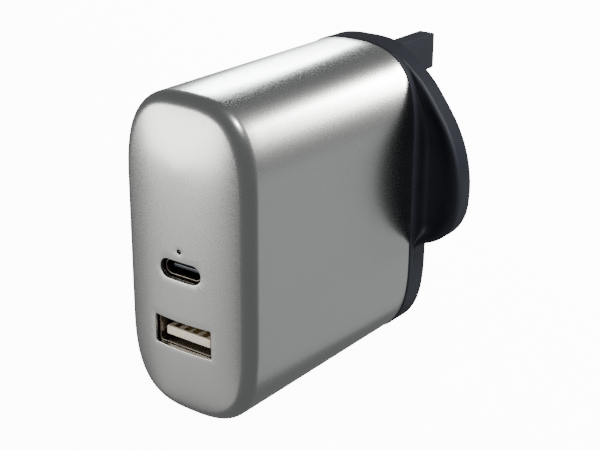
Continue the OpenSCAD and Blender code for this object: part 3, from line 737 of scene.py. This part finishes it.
def make_usb_a_shell():
    low, high = USB_A_LOW, USB_A_HIGH
    leg_z = (high.z - low.z) / 2 - LEG_T
    tube = make_tube("usb_a_receptacle", lambda grow: rounded_rectangle(*USB_A_TUBE, grow), low, high,
                     USB_A_SHEET, (-leg_z, leg_z))
    z = middle_z(low, high)
    from_y = low.y + LEAF_FROM
    cuts = []
    for x in (-LEAF_X, LEAF_X):
        cuts.append(bar(x, z, LEAF_W + LEAF_SLOT, LEAF_CUT_H, from_y, from_y + LEAF_SLOT))
        for side in (-1, 1):
            cuts.append(bar(x + side * LEAF_W / 2, z, LEAF_SLOT, LEAF_CUT_H, from_y, from_y + LEAF_D))
    return combine(tube, cuts, "DIFFERENCE")


def make_usb_c_shell():
    return make_tube("usb_c_receptacle", lambda grow: stadium(*USB_C_TUBE, grow), USB_C_LOW, USB_C_HIGH,
                     USB_C_SHEET, (0,))


def make_blade(name, section, front, rear, z, nose):
    """A tongue with a rounded nose, at a height about the body's middle."""
    rings = []
    for t in quarter_turn(5):
        end = moved(section(-nose * (1 - math.sin(t))), 0, z)
        rings.append(at_depth(end, front + nose * (1 - math.cos(t))))
    rings.append(at_depth(moved(section(0), 0, z), rear))
    solid = Solid()
    solid.loft(rings)
    return solid.make(name)


def make_usb_a_tongue():
    low, high = mm_box("usb_a_tongue")
    z = middle_z(USB_A_LOW, USB_A_HIGH)
    block_y = USB_A_HIGH.y - USB_A_BLOCK_D
    blade_z = z - MID_Z + USB_A_BLADE_TOP - USB_A_BLADE[1] / 2
    tongue = make_blade("usb_a_blade", lambda grow: rounded_rectangle(*USB_A_BLADE, 0.3, grow), low.y,
                        block_y + OVERLAP, blade_z, 0.28)
    block = rounded_rectangle(high.x - low.x, high.z - low.z, 0.25)
    combine(tongue, [prism(moved(block, 0, z - MID_Z), block_y, high.y)], "UNION")
    cuts = []
    for x in SPRING_X:
        cuts.append(bar(x, z + SPRING_SLOT_Z, *SPRING_SLOT, low.y + 0.5, block_y))
        cuts.append(bar(x, z + SPRING_ROOT_Z, *TAIL_SLOT, block_y - 0.05, high.y + 1))
    return combine(tongue, cuts, "DIFFERENCE")


def make_usb_c_tongue():
    low, high = mm_box("usb_c_tongue")
    z = middle_z(USB_C_LOW, USB_C_HIGH) - MID_Z
    block_y = USB_C_HIGH.y - USB_C_BLOCK_D
    neck_y = block_y - USB_C_NECK_D
    tongue = make_blade("usb_c_blade", lambda grow: rounded_rectangle(*USB_C_BLADE, 0.3, grow), low.y,
                        block_y + OVERLAP, z, 0.16)
    neck = make_blade("neck", lambda grow: rounded_rectangle(*USB_C_NECK, 0.4, grow), neck_y,
                      block_y + OVERLAP, z, 0.2)
    block = prism(moved(stadium(high.x - low.x, high.z - low.z), 0, z), block_y, high.y)
    combine(tongue, [neck, block], "UNION")
    contact_z = USB_C_BLADE[1] / 2 - CONTACT_IN
    contacts = Solid()
    for k in range(12):
        for side in (-1, 1):
            section = rounded_rectangle(*CONTACT_SLOT, 0.01, steps=1)
            section = moved(section, (k - 5.5) * CONTACT_PITCH, z + side * contact_z)
            contacts.loft([at_depth(section, low.y + CONTACT_FROM), at_depth(section, neck_y)])
    return combine(tongue, [contacts.make("contacts")], "DIFFERENCE")


# --- materials ---

class Material:
    """A node material around one Principled shader."""

    def __init__(self, name, **sockets):
        self.material = bpy.data.materials.new(name)
        self.material.use_nodes = True
        self.nodes = self.material.node_tree.nodes
        self.links = self.material.node_tree.links
        self.shader = self.nodes["Principled BSDF"]
        self.coords = self.add("ShaderNodeTexCoord").outputs["Object"]
        for key, value in sockets.items():
            self.shader.inputs[key.replace("_", " ")].default_value = value

    def add(self, kind, inputs=None, **settings):
        node = self.nodes.new(kind)
        for key, value in settings.items():
            setattr(node, key, value)
        for key, value in (inputs or {}).items():
            if isinstance(value, bpy.types.NodeSocket):
                self.links.new(value, node.inputs[key])
            else:
                node.inputs[key].default_value = value
        return node

    def noise(self, scale, detail=3.0, roughness=0.5, stretch=None):
        source = self.coords
        if stretch:
            source = self.add("ShaderNodeMapping", {"Vector": source, "Scale": stretch}).outputs["Vector"]
        node = self.add("ShaderNodeTexNoise", {"Vector": source, "Scale": scale, "Detail": detail,
                                                "Roughness": roughness})
        return node.outputs["Fac"]

    def spread(self, value, low, high, from_low=0.3, from_high=0.7):
        node = self.add("ShaderNodeMapRange", {"Value": value, "From Min": from_low, "From Max": from_high,
                                                "To Min": low, "To Max": high})
        return node.outputs["Result"]

    def mix(self, factor, a, b):
        node = self.add("ShaderNodeMix", data_type="RGBA")
        for socket, value in ((node.inputs[0], factor), (node.inputs[6], a), (node.inputs[7], b)):
            if isinstance(value, bpy.types.NodeSocket):
                self.links.new(value, socket)
            else:
                socket.default_value = value
        return node.outputs[2]

    def drive(self, socket, value):
        self.links.new(value, self.shader.inputs[socket])

    def bump(self, height, strength, distance):
        node = self.add("ShaderNodeBump", {"Height": height, "Strength": strength, "Distance": distance})
        self.links.new(node.outputs["Normal"], self.shader.inputs["Normal"])


def rgb(r, g, b):
    return r, g, b, 1.0


def silver_paint():
    """Satin silver paint: fine flakes, a faint cloudiness and a soft clear coat."""
    m = Material("silver_paint", Metallic=1.0, Coat_Weight=0.25, Coat_Roughness=0.12)
    flakes = m.noise(3600, 2.0, 0.6)
    cloud = m.noise(60, 3.0)
    tone = m.mix(m.spread(flakes, 0, 1), rgb(0.535, 0.54, 0.53), rgb(0.575, 0.575, 0.56))
    tone = m.mix(m.spread(cloud, 0, 0.12), tone, rgb(0.48, 0.49, 0.485))
    m.drive("Base Color", tone)
    m.drive("Roughness", m.spread(m.noise(2500, 3.0), 0.26, 0.29))
    m.bump(flakes, 0.1, 0.00001)
    return m.material


def moulded_black(name, low, high, rough_low, rough_high):
    """Satin black plastic with a very fine grain."""
    m = Material(name, Specular_IOR_Level=0.25)
    grain = m.noise(3200, 3.0, 0.6)
    m.drive("Base Color", m.mix(m.spread(m.noise(140, 4.0), 0, 1), low, high))
    m.drive("Roughness", m.spread(m.noise(400, 4.0), rough_low, rough_high))
    m.bump(grain, 0.12, 0.00003)
    return m.material


def plain_metal(name, low, high, rough_low, rough_high, stretch=None):
    """Metal with a varied tone, brushed along the axes where the stretch is small."""
    m = Material(name, Metallic=1.0)
    m.drive("Base Color", m.mix(m.spread(m.noise(300, 4.0), 0, 1), low, high))
    m.drive("Roughness", m.spread(m.noise(1500, 3.0, stretch=stretch), rough_low, rough_high))
    m.bump(m.noise(2600, 2.0, stretch=stretch), 0.08, 0.00002)
    return m.material


def plain_plastic(name, low, high, rough_low=0.35, rough_high=0.5, **sockets):
    """Moulded plastic, coating or ceramic with a varied tone and a slight relief."""
    m = Material(name, **sockets)
    m.drive("Base Color", m.mix(m.spread(m.noise(350, 4.0), 0, 1), low, high))
    m.drive("Roughness", m.spread(m.noise(900, 3.0), rough_low, rough_high))
    m.bump(m.noise(2200, 2.0), 0.1, 0.00003)
    return m.material


# a wave texture of scale 1 turns through this many radians in a metre
WAVE_UNIT = 20


def banded(m, low, high, pitch, direction="X"):
    """Fine bands a pitch in metres apart, as turns of wire or of tape: their colour and their relief."""
    inputs = {"Vector": m.coords, "Scale": math.tau / WAVE_UNIT / pitch, "Distortion": 0.4}
    waves = m.add("ShaderNodeTexWave", inputs, bands_direction=direction).outputs["Fac"]
    m.drive("Base Color", m.mix(waves, low, high))
    m.bump(waves, 0.5, pitch / 4)


def winding_copper():
    """Turns of enamelled wire."""
    m = Material("enamelled_copper", Metallic=1.0, Coat_Weight=0.6, Coat_Roughness=0.1)
    banded(m, rgb(0.34, 0.13, 0.05), rgb(0.66, 0.33, 0.14), 0.0004, "Z")
    m.drive("Roughness", m.spread(m.noise(900, 3.0), 0.2, 0.34))
    return m.material


def board_mask():
    """Green solder mask, lighter where copper runs beneath it."""
    m = Material("board_green", Coat_Weight=0.3, Coat_Roughness=0.15)
    runs = m.add("ShaderNodeTexVoronoi", {"Vector": m.coords, "Scale": 420.0}, distance="MANHATTAN",
                 feature="DISTANCE_TO_EDGE").outputs["Distance"]
    copper = m.spread(runs, 1, 0, 0.05, 0.09)
    green = m.mix(m.spread(m.noise(500, 3.0), 0, 1), rgb(0.025, 0.13, 0.06), rgb(0.035, 0.17, 0.08))
    m.drive("Base Color", m.mix(copper, green, rgb(0.07, 0.27, 0.12)))
    m.drive("Roughness", m.spread(m.noise(1200, 3.0), 0.3, 0.42))
    m.bump(copper, 0.3, 0.00003)
    return m.material


def brass_pin():
    """Nickel-tinted brass, scuffed lengthways by sockets."""
    m = Material("pin_brass", Metallic=1.0)
    scuffs = m.noise(2600, 4.0, 0.7, stretch=(1, 0.06, 1))
    tone = m.mix(m.spread(m.noise(300, 4.0), 0, 1), rgb(0.66, 0.58, 0.42), rgb(0.76, 0.68, 0.52))
    m.drive("Base Color", m.mix(m.spread(scuffs, 0, 0.25, 0.55, 0.75), tone, rgb(0.5, 0.42, 0.3)))
    m.drive("Roughness", m.spread(scuffs, 0.2, 0.38))
    m.bump(scuffs, 0.12, 0.00002)
    return m.material


def tape_film():
    """Yellow polyester film with the edges of its turns."""
    m = Material("yellow_film", Coat_Weight=0.4, Coat_Roughness=0.12)
    banded(m, rgb(0.72, 0.5, 0.06), rgb(0.84, 0.64, 0.12), 0.0016)
    m.drive("Roughness", m.spread(m.noise(700, 3.0), 0.22, 0.36))
    return m.material


SILVER = silver_paint()
BLACK = moulded_black("black_plastic", rgb(0.015, 0.016, 0.021), rgb(0.020, 0.021, 0.027), 0.42, 0.50)
PIN_BLACK = moulded_black("pin_plastic", rgb(0.024, 0.026, 0.032), rgb(0.030, 0.032, 0.039), 0.40, 0.48)
SLEEVE = moulded_black("sleeve_plastic", rgb(0.014, 0.014, 0.016), rgb(0.022, 0.022, 0.024), 0.36, 0.46)
# painted shade: the receptacle steel gets a dark brown tone, far darker than plated steel, so that it stands
# in for the shade inside the outlets' openings
SHADE_DARKENED_STEEL = plain_metal("receptacle_steel", rgb(0.18, 0.155, 0.13), rgb(0.25, 0.22, 0.185), 0.24, 0.34)
BRASS = brass_pin()
COPPER = plain_metal("strip_copper", rgb(0.62, 0.36, 0.2), rgb(0.7, 0.45, 0.26), 0.25, 0.4, (1, 0.2, 1))
GOLD = plain_metal("contact_gold", rgb(0.78, 0.55, 0.22), rgb(0.9, 0.68, 0.32), 0.18, 0.3)
CAN = plain_metal("can_aluminium", rgb(0.72, 0.73, 0.75), rgb(0.82, 0.82, 0.84), 0.24, 0.36, (1, 0.1, 1))
PLATE = plain_metal("plate_aluminium", rgb(0.62, 0.63, 0.65), rgb(0.74, 0.75, 0.76), 0.3, 0.44, (1, 0.08, 1))
CREAM = plain_plastic("tongue_cream", rgb(0.88, 0.76, 0.60), rgb(0.93, 0.83, 0.68))
TONGUE_BLACK = plain_plastic("tongue_black", rgb(0.02, 0.025, 0.035), rgb(0.035, 0.042, 0.055), 0.25, 0.35)
FERRITE = plain_plastic("ferrite", rgb(0.035, 0.035, 0.038), rgb(0.075, 0.074, 0.076), 0.5, 0.68)
BOBBIN = plain_plastic("bobbin_plastic", rgb(0.022, 0.017, 0.015), rgb(0.038, 0.03, 0.026), 0.34, 0.48)
WIRE = winding_copper()
FILM = tape_film()
SLEEVING = plain_plastic("capacitor_sleeve", rgb(0.018, 0.035, 0.10), rgb(0.03, 0.055, 0.15), 0.2, 0.3,
                         Coat_Weight=0.5)
BLUE_DIP = plain_plastic("blue_coating", rgb(0.03, 0.12, 0.38), rgb(0.05, 0.17, 0.46), 0.2, 0.34,
                         Coat_Weight=0.4)
GREEN_DIP = plain_plastic("green_coating", rgb(0.05, 0.09, 0.04), rgb(0.08, 0.13, 0.06), 0.24, 0.4,
                          Coat_Weight=0.3)
FUSE = plain_plastic("fuse_body", rgb(0.14, 0.06, 0.03), rgb(0.2, 0.09, 0.045), 0.26, 0.4, Coat_Weight=0.3)
EPOXY = plain_plastic("chip_epoxy", rgb(0.016, 0.016, 0.018), rgb(0.03, 0.03, 0.033), 0.42, 0.6)
POWDER = plain_plastic("inductor_metal", rgb(0.09, 0.09, 0.095), rgb(0.15, 0.15, 0.155), 0.5, 0.66,
                       Metallic=0.4)
CERAMIC = plain_plastic("chip_ceramic", rgb(0.28, 0.19, 0.1), rgb(0.38, 0.27, 0.16), 0.3, 0.45)
SILICONE = plain_plastic("pad_silicone", rgb(0.2, 0.27, 0.32), rgb(0.26, 0.34, 0.38), 0.6, 0.75)
SHEET = plain_plastic("sheet_film", rgb(0.62, 0.64, 0.64), rgb(0.7, 0.72, 0.72), 0.12, 0.24,
                      Transmission_Weight=0.6)
ACRYLIC = plain_plastic("clear_acrylic", rgb(0.82, 0.85, 0.87), rgb(0.88, 0.9, 0.92), 0.06, 0.14,
                        Transmission_Weight=0.95, IOR=1.49)
LED = plain_plastic("led_epoxy", rgb(0.75, 0.76, 0.6), rgb(0.85, 0.86, 0.7), 0.2, 0.32,
                    Transmission_Weight=0.3)

LOOKS = {
    "line_pin": BRASS, "neutral_pin": BRASS, "line_pin_sleeve": SLEEVE, "neutral_pin_sleeve": SLEEVE,
    "line_contact": COPPER, "neutral_contact": COPPER, "main_board": board_mask(),
    "usb_c_contacts": GOLD, "usb_a_contacts": GOLD, "usb_a_contact_tails": GOLD,
    "light_pipe": ACRYLIC, "status_led": LED,
    "transformer_core": FERRITE, "transformer_bobbin": BOBBIN, "transformer_winding": WIRE,
    "transformer_tape": FILM, "bulk_capacitors": SLEEVING, "output_capacitors": CAN, "x_capacitor": FILM,
    "y_capacitor": BLUE_DIP, "choke_core": FERRITE, "choke_windings": WIRE, "input_fuse": FUSE,
    "varistor": BLUE_DIP, "inrush_thermistor": GREEN_DIP, "bridge_rectifier": EPOXY, "power_switch": EPOXY,
    "primary_controller": EPOXY, "optocoupler": EPOXY, "output_rectifier": EPOXY, "usb_controller": EPOXY,
    "output_inductor": POWDER, "chip_resistors": EPOXY, "chip_capacitors": CERAMIC,
    "thermal_pad": SILICONE, "heat_spreader": PLATE, "insulating_sheet": SHEET,
}


def dress(obj, material):
    obj.data.materials.clear()
    obj.data.materials.append(material)
    return obj


# --- camera: the point it looks at and its distance are in millimetres ---
CAMERA_AZIMUTH = 36.72
CAMERA_ELEVATION = 21.56
CAMERA_ROLL = 0.33
CAMERA_DISTANCE = 246.95
CAMERA_AIM = Vector((15.6, -45.86, 4.38))
CAMERA_LENS = 79.3


def add_camera():
    az, el, roll = (math.radians(v) for v in (CAMERA_AZIMUTH, CAMERA_ELEVATION, CAMERA_ROLL))
    back = Vector((math.sin(az) * math.cos(el), -math.cos(az) * math.cos(el), math.sin(el)))
    right = Vector((0, 0, 1)).cross(back).normalized()
    up = back.cross(right)
    turned = math.cos(roll) * right + math.sin(roll) * up
    risen = back.cross(turned)
    camera = bpy.data.objects.new("camera", bpy.data.cameras.new("camera"))
    camera.matrix_world = Matrix.Translation((CAMERA_AIM + back * CAMERA_DISTANCE) * MM) @ \
        Matrix((turned, risen, back)).transposed().to_4x4()
    camera.data.lens = CAMERA_LENS
    camera.data.sensor_width = 36.0
    camera.data.clip_start = 0.01
    bpy.context.scene.collection.objects.link(camera)
    bpy.context.scene.camera = camera


# --- lights, placed by their direction from the charger: azimuth from +Y towards +X ---

# distance of the cards from the charger's middle, in metres
CARD_DISTANCE = 0.6


def add_card(name, azimuth, elevation, width, height, power, colour, roll=0):
    az, el = math.radians(azimuth), math.radians(elevation)
    away = Vector((math.sin(az) * math.cos(el), math.cos(az) * math.cos(el), math.sin(el)))
    middle = Vector((0, (APEX_Y + PLUG_Y) / 2 * MM, MID_Z * MM))
    light = bpy.data.lights.new(name, "AREA")
    light.shape = "RECTANGLE"
    light.size, light.size_y = width, height
    light.energy = power
    light.color = colour
    card = bpy.data.objects.new(name, light)
    right = Vector((0, 0, 1)).cross(away).normalized()
    turn = Matrix.Rotation(math.radians(roll), 4, "Z")
    card.matrix_world = Matrix.Translation(middle + away * CARD_DISTANCE) @ \
        Matrix((right, away.cross(right), away)).transposed().to_4x4() @ turn
    bpy.context.scene.collection.objects.link(card)
    return card


def aim_at(card, pieces, state):
    """Keeps a card's light off some pieces, or on them alone."""
    named = bpy.data.collections.new(card.name + "_pieces")
    for piece in pieces:
        named.objects.link(piece)
    card.light_linking.receiver_collection = named
    for link in named.collection_objects:
        link.light_linking.link_state = state


# the stage, in metres: the floor's radius, the bend up to the wall around it and the wall's height
FLOOR_R = 1.5
BEND_R = 0.4
WALL_H = 3.0
FLOOR_DROP = 0.0005
FLOOR_GLOW = 12.0
ROOM_LIGHT = 0.18


def add_stage():
    """A pale floor that rises to a wall all around, and a dim room light."""
    solid = Solid()
    turns = np.linspace(0, math.tau, 96, endpoint=False)
    profile = [(0.1, 0.0), (FLOOR_R, 0.0)]
    for t in np.linspace(0, math.pi / 2, 10)[1:]:
        profile.append((FLOOR_R + BEND_R * math.sin(t), BEND_R - BEND_R * math.cos(t)))
    profile.append((FLOOR_R + BEND_R, WALL_H))
    ids = [solid.ring([(r * math.cos(t), r * math.sin(t), z) for t in turns]) for r, z in profile]
    for lower, upper in zip(ids, ids[1:]):
        solid.bridge(lower, upper)
    solid.cap(ids[0])
    floor = solid.make("floor")
    for face in floor.data.polygons:
        face.use_smooth = True
    floor.location.z = SHELL_LOW.z * MM - FLOOR_DROP
    m = Material("floor_paint", Roughness=0.9, Emission_Color=rgb(1, 1, 1), Emission_Strength=FLOOR_GLOW)
    m.drive("Base Color", m.mix(m.spread(m.noise(40), 0, 1), rgb(0.88, 0.88, 0.88), rgb(0.9, 0.9, 0.9)))
    m.material.cycles.emission_sampling = "NONE"
    dress(floor, m.material)
    floor.visible_glossy = False
    floor.visible_diffuse = False
    floor.visible_shadow = False
    world = bpy.data.worlds.new("studio")
    bpy.context.scene.world = world
    world.use_nodes = True
    background = world.node_tree.nodes["Background"]
    background.inputs["Color"].default_value = rgb(0.95, 0.98, 1.0)
    background.inputs["Strength"].default_value = ROOM_LIGHT


add_camera()
shell = smooth(make_main_shell())
cover = smooth(make_rear_cover())
earth = smooth(make_earth_pin())
PIECES = [
    (shell, "main_shell", "silver_paint", SILVER),
    (cover, "rear_cover", "black_plastic", BLACK),
    (earth, "earth_pin", "pin_plastic", PIN_BLACK),
    (smooth(make_usb_a_shell()), "usb_a_shell", "receptacle_steel", SHADE_DARKENED_STEEL),
    (smooth(make_usb_a_tongue()), "usb_a_tongue", "tongue_cream", CREAM),
    (smooth(make_usb_c_shell()), "usb_c_shell", "receptacle_steel", SHADE_DARKENED_STEEL),
    (smooth(make_usb_c_tongue()), "usb_c_tongue", "tongue_black", TONGUE_BLACK),
]
for piece, node, slot_name, look in PIECES:
    dress(piece, look)
    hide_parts(node)
    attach(piece, CHARGER)
for name, look in LOOKS.items():
    dress(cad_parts[name], look)
add_stage()
# some cards light only the black pieces or only the tongues, as screens would arrange
BLACKS = [cover, earth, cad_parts["line_pin_sleeve"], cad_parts["neutral_pin_sleeve"]]
TONGUES = [piece for piece, node, slot_name, look in PIECES if node.endswith("_tongue")]
add_card("front_low", -143, -30, 0.50, 0.40, 0.30, (1, 0.985, 0.95))
add_card("front_high", -143, 0, 0.46, 0.26, 2.2, (1, 0.99, 0.97))
add_card("side_card", 36.5, -26, 0.50, 0.36, 0.17, (0.92, 1, 0.98))
aim_at(add_card("warm_band", 24.5, 17.5, 0.185, 0.22, 6.4, (1, 0.99, 0.97)), BLACKS, "EXCLUDE")
aim_at(add_card("top_card", -38, 21.5, 0.12, 0.08, 1.15, (0.95, 0.985, 1)), BLACKS, "EXCLUDE")
aim_at(add_card("rim_card", 36, 26, 0.4, 0.2, 0.12, (1, 0.93, 0.88)), BLACKS, "INCLUDE")
aim_at(add_card("right_fill", 84, 36, 0.4, 0.4, 4.0, (0.93, 0.95, 1)), BLACKS, "INCLUDE")
aim_at(add_card("cove_fill", 150, 30, 0.4, 0.4, 1.9, (0.88, 0.94, 1)), BLACKS, "INCLUDE")
aim_at(add_card("outlet_fill", -150, 8, 0.3, 0.3, 1.2, (1, 0.97, 0.92)), TONGUES, "INCLUDE")
add_card("key", 85, 56, 0.04, 0.03, 1.4, (1, 1, 1), roll=-37.5)
